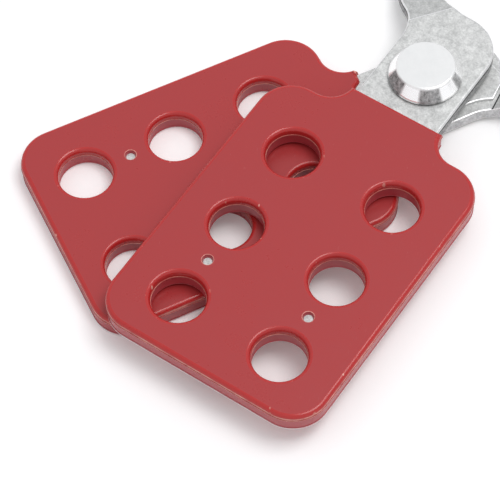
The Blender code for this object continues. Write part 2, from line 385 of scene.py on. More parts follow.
    @staticmethod
    def copies(piece: Piece, places: list[Vector]) -> Piece:
        """Copy a piece to further places and join the copies into it.

        Args:
            piece: the piece, which stands at the first place.
            places: every place that needs one.

        Returns:
            The piece, with all its copies in one mesh.
        """
        made = [piece]
        for place in places[1:]:
            Bench.take(piece)
            shift = (place.x - places[0].x, place.y - places[0].y, 0.0)
            bpy.ops.object.duplicate_move(TRANSFORM_OT_translate={"value": shift})
            made.append(bpy.context.object)
        Bench.take(piece)
        for copy in made:
            copy.select_set(True)
        bpy.ops.object.join()
        Bench.settle()
        return piece

    @staticmethod
    def turn(piece: Piece, matrix: Matrix) -> None:
        """Turn a piece by a matrix and keep its place in its mesh.

        Args:
            piece: the piece to turn.
            matrix: the turn, in the hasp's own coordinates.
        """
        Bench.take(piece)
        piece.matrix_world = matrix @ piece.matrix_world
        Bench.settle()

    @staticmethod
    def smooth(piece: Piece, angle: float = SMOOTH_ANGLE) -> None:
        """Weld the mesh, shade its round faces smooth and keep its flat ones flat.

        Args:
            piece: the piece to finish.
            angle: the sharpest corner that is still shaded smooth.
        """
        Bench.edit(piece)
        bpy.ops.mesh.select_all(action="SELECT")
        bpy.ops.mesh.remove_doubles(threshold=TOUCH)
        bpy.ops.mesh.dissolve_degenerate(threshold=TOUCH)
        Bench.face_outwards()
        Bench.take(piece)
        bpy.ops.object.shade_smooth_by_angle(angle=angle)
        Bench.apply(piece, "WEIGHTED_NORMAL", keep_sharp=True,
                    weight=Bench.NORMAL_WEIGHT)


class Pen:
    """Draws an outline by extruding one corner along lines and spinning it round arcs."""

    SEED_SIZE = 0.001

    def __init__(self, name: str, start: tuple[float, float], height: float, step: float) -> None:
        """Put the first corner down.

        Args:
            name: name of the object that the outline becomes.
            start: where the outline starts.
            height: the height that it is drawn at.
            step: the most that one side of an arc turns.
        """
        Bench.clear()
        bpy.ops.mesh.primitive_plane_add(size=self.SEED_SIZE,
                                         location=(start[0], start[1], height))
        self.piece = bpy.context.object
        self.piece.name = name
        self.height = height
        self.step = step
        self.place = Vector(start)
        Bench.settle()
        bpy.ops.object.mode_set(mode="EDIT")
        bpy.ops.mesh.select_mode(type="VERT")
        bpy.ops.mesh.select_all(action="SELECT")
        bpy.ops.mesh.merge(type="CENTER")

    def line(self, x: float, y: float) -> Pen:
        """Draw a straight side.

        Args:
            x: where it ends, across the hasp.
            y: where it ends, along the hasp.

        Returns:
            The pen, for the next stroke.
        """
        reach = Vector((x, y)) - self.place
        if reach.length > TOUCH:
            shift = (reach.x, reach.y, 0.0)
            bpy.ops.mesh.extrude_region_move(TRANSFORM_OT_translate={"value": shift})
            self.place = Vector((x, y))
        return self

    def arc(self, centre: Vector | tuple[float, float], turn: float) -> Pen:
        """Draw an arc.

        Args:
            centre: the centre of the arc.
            turn: how far it turns, counterclockwise where positive.

        Returns:
            The pen, for the next stroke.
        """
        middle = Vector(centre)
        steps = max(2, math.ceil(abs(turn) / self.step))
        bpy.ops.mesh.spin(steps=steps, angle=-turn, axis=(0.0, 0.0, 1.0),
                          center=(middle.x, middle.y, self.height))
        arm = self.place - middle
        arm.rotate(Matrix.Rotation(turn, 2))
        self.place = middle + arm
        return self

    def fill(self) -> Piece:
        """Close the outline and fill it with one face, left selected.

        Returns:
            The filled outline, still in edit mode.
        """
        bpy.ops.mesh.select_all(action="SELECT")
        bpy.ops.mesh.remove_doubles(threshold=TOUCH)
        bpy.ops.mesh.edge_face_add()
        return self.piece


# ----------------------------------------------------------------- finishes

class NodeSheet:
    """Adds and links nodes in one node tree, from left to right."""

    SPACING = 190
    MIX_INPUTS = (0, 6, 7)
    MIX_RESULT = 2

    def __init__(self, tree: bpy.types.NodeTree) -> None:
        """Take a node tree and empty it.

        Args:
            tree: the node tree.
        """
        self.tree = tree
        self.tree.nodes.clear()
        self.column = 0

    def add(self, kind: str, **settings: object) -> Node:
        """Add a node.

        Args:
            kind: the node's type.
            settings: values of its properties.

        Returns:
            The new node.
        """
        node = self.tree.nodes.new(kind)
        node.location = (self.column * self.SPACING, 0)
        self.column += 1
        for name, value in settings.items():
            setattr(node, name, value)
        return node

    def link(self, source: Socket, target: Socket) -> None:
        """Join an output to an input."""
        self.tree.links.new(source, target)

    def put(self, target: Socket, value: object) -> None:
        """Join an input to an output, or give it a plain value.

        Args:
            target: the input.
            value: an output socket, a number, a colour or a vector.
        """
        if isinstance(value, bpy.types.NodeSocket):
            self.link(value, target)
        else:
            target.default_value = value

    def feed(self, node: Node, **inputs: object) -> Node:
        """Fill a node's inputs by name.

        Args:
            node: the node to fill.
            inputs: output sockets or plain values, with _ for a space in a name.

        Returns:
            The same node.
        """
        for name, value in inputs.items():
            self.put(node.inputs[name.replace("_", " ")], value)
        return node

    def math(self, operation: str, first: object, second: object = 0.0) -> Socket:
        """A math node's result.

        Args:
            operation: the node's operation.
            first: a socket or a number.
            second: a socket or a number.

        Returns:
            The result's socket.
        """
        node = self.add("ShaderNodeMath", operation=operation)
        self.put(node.inputs[0], first)
        self.put(node.inputs[1], second)
        return node.outputs[0]

    def most(self, *values: object) -> Socket:
        """The largest of several values.

        Args:
            values: sockets or numbers, at least two.

        Returns:
            The largest value's socket.
        """
        largest = values[0]
        for value in values[1:]:
            largest = self.math("MAXIMUM", largest, value)
        return largest

    def mix(self, share: object, low: object, high: object) -> Socket:
        """Blend two colours by a share.

        Args:
            share: a socket or a number from 0 to 1.
            low: the colour at 0.
            high: the colour at 1.

        Returns:
            The colour's socket.
        """
        node = self.add("ShaderNodeMix", data_type="RGBA")
        for index, value in zip(self.MIX_INPUTS, (share, low, high)):
            self.put(node.inputs[index], value)
        return node.outputs[self.MIX_RESULT]

    def spread(self, value: object, low: float = 0.0, high: float = 1.0,
               new_low: float = 0.0, new_high: float = 1.0) -> Socket:
        """Map a value from one range to another, without overshoot.

        Args:
            value: the socket to map.
            low: the start of its range.
            high: the end of its range.
            new_low: what the start becomes.
            new_high: what the end becomes.

        Returns:
            The mapped value's socket.
        """
        node = self.add("ShaderNodeMapRange", clamp=True)
        self.feed(node, Value=value, From_Min=low, From_Max=high, To_Min=new_low, To_Max=new_high)
        return node.outputs[0]

    def noise(self, place: Socket, scale: object, detail: float, roughness: float = 0.5) -> Socket:
        """Soft random tones from 0 to 1.

        Args:
            place: the coordinates that they are read at.
            scale: how close together they lie.
            detail: how many finer layers they have.
            roughness: how strong those layers are.

        Returns:
            The tone's socket.
        """
        node = self.add("ShaderNodeTexNoise")
        self.feed(node, Vector=place, Scale=scale, Detail=detail, Roughness=roughness)
        return node.outputs[0]

    def along(self, way: Socket, direction: tuple[float, float, float]) -> Socket:
        """How far a direction points along a fixed one, from -1 to 1.

        Args:
            way: the direction's socket.
            direction: the fixed direction.

        Returns:
            The share's socket.
        """
        node = self.add("ShaderNodeVectorMath", operation="DOT_PRODUCT")
        self.put(node.inputs[0], way)
        self.put(node.inputs[1], Vector(direction).normalized())
        return node.outputs["Value"]


class Effects:
    """Node groups that several finishes share, each built once."""

    MOTTLE_TONES = (0.32, 0.68)
    SCRATCH_TONES = (0.70, 0.76)
    SPARSE_TONES = (0.52, 0.62)
    SPARSE_SCALE = 90.0

    def __init__(self) -> None:
        """Build the groups, with the usual value of each input."""
        self.mottle = self._group("Mottle", "Mask", self._mottle, Patch_Scale=400.0,
                                  Fleck_Scale=1600.0, Fleck_Share=0.35)
        self.grain = self._group("Grain", "Height", self._grain, Grain_Scale=6000.0,
                                 Wave_Scale=120.0, Wave_Share=0.3)
        self.scuffs = self._group("Scuffs", "Mask", self._scuffs, Scratch_Scale=300.0,
                                  Stretch=14.0, Amount=0.5, Turn=0.6)

    @staticmethod
    def _group(name: str, output: str, draw: Callable[..., Socket],
               **inputs: float) -> bpy.types.NodeTree:
        """Build one group.

        Args:
            name: the group's name.
            output: the name of its output.
            draw: adds its nodes, from its sheet and its inputs, and returns the result.
            inputs: its number inputs and their usual values, with _ for a space.

        Returns:
            The node group.
        """
        group = bpy.data.node_groups.new(name, "ShaderNodeTree")
        faces = group.interface
        faces.new_socket(name="Place", in_out="INPUT", socket_type="NodeSocketVector")
        for title, value in inputs.items():
            socket = faces.new_socket(name=title.replace("_", " "), in_out="INPUT",
                                      socket_type="NodeSocketFloat")
            socket.default_value = value
        faces.new_socket(name=output, in_out="OUTPUT", socket_type="NodeSocketFloat")
        sheet = NodeSheet(group)
        result = draw(sheet, sheet.add("NodeGroupInput").outputs)
        sheet.link(result, sheet.add("NodeGroupOutput").inputs[output])
        return group

    @staticmethod
    def _mottle(sheet: NodeSheet, given: bpy.types.NodeInputs) -> Socket:
        """Cloudy patches with finer flecks inside them.

        Args:
            sheet: the group's sheet.
            given: the group's inputs.

        Returns:
            The mask's socket.
        """
        patches = sheet.noise(given["Place"], given["Patch Scale"], detail=3.0, roughness=0.55)
        flecks = sheet.noise(given["Place"], given["Fleck Scale"], detail=2.0, roughness=0.6)
        share = sheet.math("MULTIPLY", flecks, given["Fleck Share"])
        rest = sheet.math("SUBTRACT", 1.0, given["Fleck Share"])
        kept = sheet.math("MULTIPLY", patches, rest)
        return sheet.spread(sheet.math("ADD", share, kept), *Effects.MOTTLE_TONES)

    @staticmethod
    def _grain(sheet: NodeSheet, given: bpy.types.NodeInputs) -> Socket:
        """Fine surface grain and slow waviness, as a height.

        Args:
            sheet: the group's sheet.
            given: the group's inputs.

        Returns:
            The height's socket.
        """
        fine = sheet.noise(given["Place"], given["Grain Scale"], detail=2.0)
        wave = sheet.noise(given["Place"], given["Wave Scale"], detail=1.0)
        return sheet.math("ADD", fine, sheet.math("MULTIPLY", wave, given["Wave Share"]))

    @staticmethod
    def _scuffs(sheet: NodeSheet, given: bpy.types.NodeInputs) -> Socket:
        """Sparse thin scratches, drawn out along one direction.

        Args:
            sheet: the group's sheet.
            given: the group's inputs.

        Returns:
            The mask's socket.
        """
        turned = sheet.add("ShaderNodeVectorRotate", rotation_type="Z_AXIS")
        sheet.feed(turned, Vector=given["Place"], Angle=given["Turn"])
        stretch = sheet.feed(sheet.add("ShaderNodeCombineXYZ"), X=1.0, Y=given["Stretch"], Z=1.0)
        drawn = sheet.add("ShaderNodeVectorMath", operation="MULTIPLY")
        sheet.link(turned.outputs[0], drawn.inputs[0])
        sheet.link(stretch.outputs[0], drawn.inputs[1])
        lines = sheet.noise(drawn.outputs[0], given["Scratch Scale"], detail=1.0)
        places = sheet.noise(given["Place"], Effects.SPARSE_SCALE, detail=1.0)
        thin = sheet.spread(lines, *Effects.SCRATCH_TONES)
        sparse = sheet.spread(places, *Effects.SPARSE_TONES)
        return sheet.math("MULTIPLY", sheet.math("MULTIPLY", thin, sparse), given["Amount"])


@dataclass(frozen=True)
class Finish:
    """What every finish has: a name and the steps that its material starts with."""

    name: str

    def open(self) -> tuple[Material, NodeSheet, Node, Socket]:
        """Start a material with its shader and its object coordinates.

        Returns:
            The material, its sheet, the shader node and the place socket.
        """
        material = bpy.data.materials.new(self.name)
        material.use_nodes = True
        sheet = NodeSheet(material.node_tree)
        place = sheet.add("ShaderNodeTexCoord").outputs["Object"]
        shader = sheet.add("ShaderNodeBsdfPrincipled")
        output = sheet.add("ShaderNodeOutputMaterial")
        sheet.link(shader.outputs[0], output.inputs[0])
        return material, sheet, shader, place

    @staticmethod
    def effect(sheet: NodeSheet, group: bpy.types.NodeTree, place: Socket,
               **values: float) -> Socket:
        """The output of a shared effect, placed in a material with its own settings."""
        node = sheet.add("ShaderNodeGroup", node_tree=group)
        return sheet.feed(node, Place=place, **values).outputs[0]

    @staticmethod
    def bump(sheet: NodeSheet, height: Socket, strength: float, distance: float) -> Socket:
        """A bump node's normal, from a height."""
        node = sheet.add("ShaderNodeBump")
        return sheet.feed(node, Height=height, Strength=strength, Distance=distance).outputs[0]


@dataclass(frozen=True, kw_only=True)
class WornSurface(Finish):
    """A cloudy surface with light scuffs and fine grain; scales are per metre."""

    colour: Colour
    cloud: Colour
    clouding: float
    cloud_scale: float
    fleck_ratio: float
    fleck_share: float = 0.35
    scuff: Colour
    scuff_amount: float
    scratch_scale: float
    stretch: float = 14.0
    scuff_turn: float = 0.6
    roughness: float
    smoother: float
    rougher: float
    metal: float = 0.0
    gloss: float = 0.5
    grain_scale: float
    wave_scale: float
    bump_strength: float
    bump_height: float

    def make(self, effects: Effects) -> Material:
        """Build the material.

        Args:
            effects: the shared effects.

        Returns:
            The finished material.
        """
        material, sheet, shader, place = self.open()
        clouds = self.effect(sheet, effects.mottle, place, Patch_Scale=self.cloud_scale,
                             Fleck_Scale=self.cloud_scale * self.fleck_ratio,
                             Fleck_Share=self.fleck_share)
        scuffs = self.effect(sheet, effects.scuffs, place, Scratch_Scale=self.scratch_scale,
                             Stretch=self.stretch, Amount=self.scuff_amount, Turn=self.scuff_turn)
        grain = self.effect(sheet, effects.grain, place, Grain_Scale=self.grain_scale,
                            Wave_Scale=self.wave_scale)
        tone = sheet.mix(sheet.math("MULTIPLY", clouds, self.clouding), self.colour, self.cloud)
        rough = sheet.spread(clouds, new_low=self.roughness - self.smoother,
                             new_high=self.roughness + self.rougher)
        shader.inputs["Metallic"].default_value = self.metal
        shader.inputs["Specular IOR Level"].default_value = self.gloss
        sheet.feed(shader, Base_Color=sheet.mix(scuffs, tone, self.scuff), Roughness=rough,
                   Normal=self.bump(sheet, grain, self.bump_strength, self.bump_height))
        return material


@dataclass(frozen=True)
class MouldedNylon(WornSurface):
    """Satin moulded nylon with faint flow clouds, fine grain and light scuffs."""

    colour: Colour = rgb(0.41, 0.033, 0.034)
    cloud: Colour = rgb(0.37, 0.030, 0.034)
    clouding: float = 0.5
    cloud_scale: float = 70.0
    fleck_ratio: float = 12.0
    scuff: Colour = rgb(0.62, 0.30, 0.28)
    scuff_amount: float = 0.10
    scratch_scale: float = 700.0
    stretch: float = 5.0
    roughness: float = 0.30
    smoother: float = 0.05
    rougher: float = 0.06
    grain_scale: float = 3500.0
    wave_scale: float = 90.0
    bump_strength: float = 0.25
    bump_height: float = 0.00002


@dataclass(frozen=True)
class ZincPlate(WornSurface):
    """Zinc plating on rolled steel: cloudy patches, fine grain, faint rolling lines."""

    colour: Colour = rgb(0.715, 0.72, 0.71)
    cloud: Colour = rgb(0.49, 0.495, 0.49)
    clouding: float = 1.0
    cloud_scale: float = 800.0
    fleck_ratio: float = 4.0
    fleck_share: float = 0.4
    scuff: Colour = rgb(0.81, 0.82, 0.82)
    scuff_amount: float = 0.4
    scratch_scale: float = 420.0
    scuff_turn: float = 2.1
    roughness: float = 0.62
    smoother: float = 0.06
    rougher: float = 0.08
    metal: float = 1.0
    grain_scale: float = 2600.0
    wave_scale: float = 260.0
    bump_strength: float = 0.4
    bump_height: float = 0.00003


@dataclass(frozen=True)
class PaintedReflection:
    """A dark patch of painted reflection on the rivet's flank: its angle and half-width in degrees,
    and its depth.
    """

    angle: float
    half_width: float
    depth: float


@dataclass(frozen=True)
class RivetFinish(Finish):
    """Bright plated rivet steel. Its flank is painted whiter than its top, a painted highlight,
    with dark patches of painted reflection round it.
    """

    colour: Colour = rgb(0.91, 0.915, 0.91)
    cloud: Colour = rgb(0.80, 0.81, 0.81)
    clouding: float = 0.5
    cloud_scale: float = 500.0
    cloud_fleck_scale: float = 2200.0
    # Painted highlight: the flank is painted whiter than the top.
    flank: Colour = grey(1.0)
    flank_start: float = 0.0053
    flank_full: float = 0.0055
    # Dark colour of the painted reflections on the flank, and where they lie round the axis.
    painted_reflection: Colour = grey(0.05)
    painted_reflections: tuple[PaintedReflection, ...] = (
        PaintedReflection(-90.0, 22.0, 1.0), PaintedReflection(-20.0, 21.0, 0.92), PaintedReflection(41.0, 11.0, 0.9))
    reflection_edge: float = 5.0
    reflection_scale: float = 1500.0
    reflection_fleck_scale: float = 4000.0
    least_reflection: float = 0.5
    roughness: float = 0.20
    reflection_rougher: float = 0.2
    metal: float = 0.4
    flank_metal: float = 0.8
    grain_scale: float = 2400.0
    wave_scale: float = 400.0
    bump_strength: float = 0.2
    bump_height: float = 0.00003

    def make(self, effects: Effects) -> Material:
        """Build the material.

        Args:
            effects: the shared effects.

        Returns:
            The finished material.
        """
        material, sheet, shader, place = self.open()
        clouds = self.effect(sheet, effects.mottle, place, Patch_Scale=self.cloud_scale,
                             Fleck_Scale=self.cloud_fleck_scale)
        flecks = self.effect(sheet, effects.mottle, place, Patch_Scale=self.reflection_scale,
                             Fleck_Scale=self.reflection_fleck_scale)
        grain = self.effect(sheet, effects.grain, place, Grain_Scale=self.grain_scale,
                            Wave_Scale=self.wave_scale)
        painted_reflections, flank = self._painted_reflections(sheet, place)
        # Painted reflection: dark mottled patches at fixed angles round the flank.
        reflection_share = sheet.math("MULTIPLY", painted_reflections, sheet.spread(flecks, new_low=self.least_reflection))
        colour = sheet.mix(sheet.math("MULTIPLY", clouds, self.clouding), self.colour, self.cloud)
        colour = sheet.mix(flank, colour, self.flank)
        bright = sheet.math("SUBTRACT", flank, painted_reflections)
        sheet.feed(shader, Base_Color=sheet.mix(reflection_share, colour, self.painted_reflection),
                   Roughness=sheet.spread(reflection_share, new_low=self.roughness,
                                          new_high=self.roughness + self.reflection_rougher),
                   Metallic=sheet.spread(bright, new_low=self.metal, new_high=self.flank_metal),
                   Normal=self.bump(sheet, grain, self.bump_strength, self.bump_height))
        return material

    def _painted_reflections(self, sheet: NodeSheet, place: Socket) -> tuple[Socket, Socket]:
        """Where the flank and its dark patches of painted reflection lie round the axis.

        Args:
            sheet: the material's sheet.
            place: the object coordinates.

        Returns:
            The mask of the painted reflections and the mask of the whole flank.
        """
        parts = sheet.feed(sheet.add("ShaderNodeSeparateXYZ"), Vector=place).outputs
        angle = sheet.math("ARCTAN2", parts["Y"], parts["X"])
        masks = []
        for painted_reflection in self.painted_reflections:
            turn = sheet.math("SUBTRACT", angle, math.radians(painted_reflection.angle))
            masks.append(sheet.spread(sheet.math("ABSOLUTE", turn),
                                      math.radians(painted_reflection.half_width - self.reflection_edge),
                                      math.radians(painted_reflection.half_width), painted_reflection.depth, 0.0))
        x_square = sheet.math("MULTIPLY", parts["X"], parts["X"])
        y_square = sheet.math("MULTIPLY", parts["Y"], parts["Y"])
        radius = sheet.math("SQRT", sheet.math("ADD", x_square, y_square))
        flank = sheet.spread(radius, self.flank_start, self.flank_full)
        return sheet.math("MULTIPLY", sheet.most(*masks), flank), flank


@dataclass(frozen=True)
class StudioWhite(Finish):
    """Matt white studio surface, a little brighter to the eye than it lights the hasp."""

    glow: float = 0.11
    colour: Colour = grey(0.97)
    shade: Colour = grey(0.95)
    shade_share: float = 0.05
    roughness: float = 0.9
    gloss: float = 0.1
    grain_scale: float = 200.0
    wave_scale: float = 3.0
    grain_peak: float = 1.3

    def make(self, effects: Effects) -> Material:
        """Build the material.

        Args:
            effects: the shared effects.

        Returns:
            The finished material.
        """
        material, sheet, shader, place = self.open()
        grain = self.effect(sheet, effects.grain, place, Grain_Scale=self.grain_scale,
                            Wave_Scale=self.wave_scale)
        tone = sheet.spread(grain, high=self.grain_peak, new_high=self.shade_share)
        shader.inputs["Roughness"].default_value = self.roughness
        shader.inputs["Specular IOR Level"].default_value = self.gloss
        rays = sheet.add("ShaderNodeLightPath").outputs
        seen = sheet.most(rays["Is Camera Ray"], rays["Is Glossy Ray"],
                          rays["Is Transmission Ray"])
        sheet.feed(shader, Base_Color=sheet.mix(tone, self.colour, self.shade),
                   Emission_Color=grey(1.0),
                   Emission_Strength=sheet.spread(seen, new_high=self.glow))
        return material


# ------------------------------------------------------------------- pieces

@dataclass
class Handle:
    """Moulded handle: lipped cover, parting line, lipped hole tubes and pin holes.

    The foot's rounding is a share of its band, the bore starts at a multiple of its
    foot's radius, and the pin holes' mouth and taper are shares of their radius.
    """

    half: Half
    sizes: HaspSizes
    corner_radius: float = 0.0068
    shoulder_fillet: float = 0.0046
    rim_radius: float = 0.0008
    lip_radius: float = 0.0010
    lip_reach: float = 0.0008
    lip_height: float = 0.0011
    lip_segments: int = 6
    lip_painted_light_tilt: float = 0.25
    ring_depth: float = 0.0014
    foot_radius: float = 0.0004
    foot_band: float = 0.0004
    foot_rounding: float = 0.25
    foot_segments: int = 2
    wall_inset: float = 0.00012
    flash_height: float = 0.00014
    flash_reach: float = 0.00008
    bore_start: float = 1.5
    bore_foot_segments: int = 3
    pin_radius: float = 0.00105
    pin_mouth: float = 0.11
    pin_taper: float = 0.76
    pin_segments: int = 24
    arc_step: float = math.radians(5.0)
    hole_segments: int = 72
    sleeve_trim: float = math.radians(7.5)
    jag: tuple[tuple[float, float], ...] = (
        (0.0096, -0.0101), (0.0091, -0.0095), (0.0068, -0.0098), (0.0060, -0.0110),
        (0.0050, -0.0113), (-0.0050, -0.0113), (-0.0059, -0.0111), (-0.0064, -0.0103),
        (-0.0068, -0.0098), (-0.0079, -0.00965), (-0.0087, -0.0095), (-0.0089, -0.00915),
        (-0.0092, -0.0092), (-0.0092, -0.0096), (-0.0096, -0.0099))

    @property
    def base(self) -> float:
        """Height of the handle's underside."""
        return self.sizes.front_base if self.half is Half.FRONT else 0.0

    @property
    def top(self) -> float:
        """Height of the handle's upper face."""
        return self.base + self.sizes.handle_thickness

    @property
    def parting(self) -> float:
        """Height of the mould's parting line."""
        return self.top - self.lip_height

    def build(self, finishes: list[Material]) -> Piece:
        """Model the handle and dress it.

        Args:
            finishes: its materials, in the order of NylonSlot.

        Returns:
            The finished handle.
        """
        handle = self._body(finishes)
        Bench.combine(handle, self._hole_cutters(finishes), "DIFFERENCE")
        Bench.combine(handle, self._pin_cutters(finishes), "DIFFERENCE")
        Bench.smooth(handle)
        if self.half is Half.FRONT:
            Bench.turn(handle, Matrix.Rotation(self.sizes.opening_angle, 4, "Z"))
        return handle

    def _body(self, finishes: list[Material]) -> Piece:
        """Cover with a rounded lip, a parting line and a slightly smaller wall below it.

        Args:
            finishes: its materials, in the order of NylonSlot.

        Returns:
            The handle before its holes are cut.
        """
        handle = self._outline()
        Bench.slots(handle, finishes)
        Bench.raise_face(self.lip_height)
        Bench.face_outwards()
        Bench.pick(handle, Element.FACE, lambda face: face.normal.z < UNDERSIDE_TILT)
        Bench.raise_face(-self.flash_height)
        bpy.ops.mesh.inset(thickness=self.wall_inset, depth=0.0)
        Bench.raise_face(self.base - self.parting + self.flash_height + self.foot_band)
        Bench.raise_face(-self.foot_band)
        Bench.round_rim(handle, self.top, self.rim_radius, self.lip_segments)
        Bench.round_rim(handle, self.base, self.foot_band * self.foot_rounding,
                        self.foot_segments)
        Bench.paint(handle, NylonSlot.WALL,
                    lambda face: is_wall(face) and level(face) < self.parting)
        self._flash(handle, self.parting - self.flash_height, self.parting, NylonSlot.FLASH)
        # Painted reflection: the foot band is painted pale, standing in for the floor mirrored in
        # it.
        self._flash(handle, self.base, self.base + self.foot_band, NylonSlot.FOOT_PAINTED_REFLECTION)
        # Painted glow: the rounded lip is painted a brighter, more saturated red than the cover.
        Bench.paint(handle, NylonSlot.LIP_PAINTED_GLOW, self._on_lip)
        # Painted light: the lip's steep lower band takes the pale finish, so it looks lit from the
        # front.
        Bench.paint(handle, NylonSlot.FLASH,
                    lambda face: self._on_lip(face) and face.normal.z < self.lip_painted_light_tilt)
        Bench.clear()
        return handle

    def _on_lip(self, face: Face) -> bool:
        """Whether a face belongs to the rounded lip between the parting line and the top."""
        return self.parting + TOUCH < level(face) < self.top - TOUCH

    def _flash(self, handle: Piece, low: float, high: float, slot: NylonSlot) -> None:
        """Let thin flash stand proud of the wall in a band between two heights.

        Args:
            handle: the piece being edited.
            low: the lower edge of the band.
            high: its upper edge.
            slot: the material slot that the flash gets.
        """
        Bench.pick(handle, Element.FACE, lambda face: is_wall(face) and low < level(face) < high)
        bpy.ops.mesh.extrude_region_shrink_fatten(
            TRANSFORM_OT_shrink_fatten={"value": self.flash_reach})
        Bench.assign(handle, slot)

    def _outline(self) -> Piece:
        """Outline of the cover and its sleeve, filled, at the parting line.

        Returns:
            The filled outline, still in edit mode.
        """
        sizes = self.sizes
        half_width = sizes.handle_width / 2
        inner = half_width - self.corner_radius
        sleeve = sizes.neck_width / 2 + sizes.sleeve_wall
        sleeve_end = sizes.shoulder_y + sizes.sleeve_length
        low = sizes.end_y + self.corner_radius
        high = sizes.shoulder_y - self.corner_radius
        right = Vector((sleeve + self.shoulder_fillet, sizes.shoulder_y + self.shoulder_fillet))
        left = Vector((-right.x, right.y))
        name = f"{self.half.value}_handle_shell"
        pen = Pen(name, (inner, sizes.end_y), self.parting, self.arc_step)
        pen.arc((inner, low), QUARTER).line(half_width, high)
        pen.arc((inner, high), QUARTER).line(sleeve + self.shoulder_fillet, sizes.shoulder_y)
        if self.half is Half.FRONT:
            pen.arc(right, -QUARTER)
            pen.line(sleeve, sleeve_end).line(-sleeve, sleeve_end)
            pen.arc(left, -QUARTER)
        else:
            turn = self.sleeve_trim - QUARTER
            pen.arc(right, turn)
            for x, y in self.jag:
                pen.line(x, y)
            pen.line(left.x + self.shoulder_fillet * math.cos(self.sleeve_trim),
                     left.y - self.shoulder_fillet * math.sin(self.sleeve_trim))
            pen.arc(left, turn)
        pen.line(-inner, sizes.shoulder_y).arc((-inner, high), QUARTER)
        pen.line(-half_width, low).arc((-inner, low), QUARTER)
        return pen.fill()

    def _hole_cutters(self, finishes: list[Material]) -> Piece:
        """Cutters for the padlock holes, flared where the lips are rounded.

        Args:
            finishes: the handle's materials, in the order of NylonSlot.

        Returns:
            All the cutters in one piece.
        """
        radius = self.sizes.hole_radius
        foot = self.foot_radius
        line = self.top - self.ring_depth
        ridge = line - self.flash_height
        profile = [(radius + foot, self.base - self.lip_radius), (radius + foot, self.base)]
        for index in range(1, self.bore_foot_segments + 1):
            angle = QUARTER * index / self.bore_foot_segments
            profile.append((radius + foot * (1 - math.sin(angle)),
                            self.base + foot * (1 - math.cos(angle))))
        wall = radius + self.wall_inset
        ring = radius - self.flash_reach
        profile += [(wall, self.base + foot * self.bore_start), (wall, ridge),
                    (ring, ridge), (ring, line), (radius, line)]
        for index in range(self.lip_segments + 1):
            angle = QUARTER * index / self.lip_segments
            profile.append((radius + self.lip_reach * (1 - math.cos(angle)),
                            self.top - self.lip_radius * (1 - math.sin(angle))))
        profile.append((radius + self.lip_reach, self.top + self.lip_radius))
        places = self.sizes.hole_centres()
        cutter = Bench.turned("hole_cutter", places[0], profile, self.hole_segments)
        Bench.slots(cutter, finishes)
        Bench.edit(cutter)
        # Painted light: the bore is painted a lighter, pinker red than the cover, standing in for
        # reflected light.
        Bench.paint(cutter, NylonSlot.BORE_PAINTED_LIGHT, lambda face: level(face) < ridge - TOUCH)
        Bench.paint(cutter, NylonSlot.FLASH,
                    lambda face: ridge - TOUCH < level(face) < line + TOUCH)
        # Painted glow: the holes' rounded lips take the brighter, more saturated lip red.
        Bench.paint(cutter, NylonSlot.LIP_PAINTED_GLOW, lambda face: level(face) > line + TOUCH)
        Bench.clear()
        return Bench.copies(cutter, places)

    def _pin_cutters(self, finishes: list[Material]) -> Piece:
        """Cutters for the mould-pin holes, which narrow towards the steel.

        Args:
            finishes: the handle's materials, in the order of NylonSlot.

        Returns:
            All the cutters in one piece.
        """
        mouth = self.pin_radius * self.pin_mouth
        wide = self.pin_radius + mouth
        rings = [(wide, self.lip_radius), (wide, 0.0), (self.pin_radius, -mouth / 2),
                 (self.pin_radius * self.pin_taper, -self.sizes.cover)]
        profile = [(radius, self.base - rise) for radius, rise in rings]
        profile += [(radius, self.top + rise) for radius, rise in reversed(rings)]
        places = self.sizes.pin_centres()
        cutter = Bench.turned("pin_cutter", places[0], profile, self.pin_segments)
        Bench.slots(cutter, finishes)
        Bench.edit(cutter)
        # Painted light: the pin hole's wall takes the lighter, pinker bore red.
        Bench.paint(cutter, NylonSlot.BORE_PAINTED_LIGHT, lambda face: level(face) < self.top)
        Bench.paint(cutter, NylonSlot.FLASH,
                    lambda face: self.top - mouth / 2 < level(face) < self.top)
        Bench.clear()
        return Bench.copies(cutter, places)


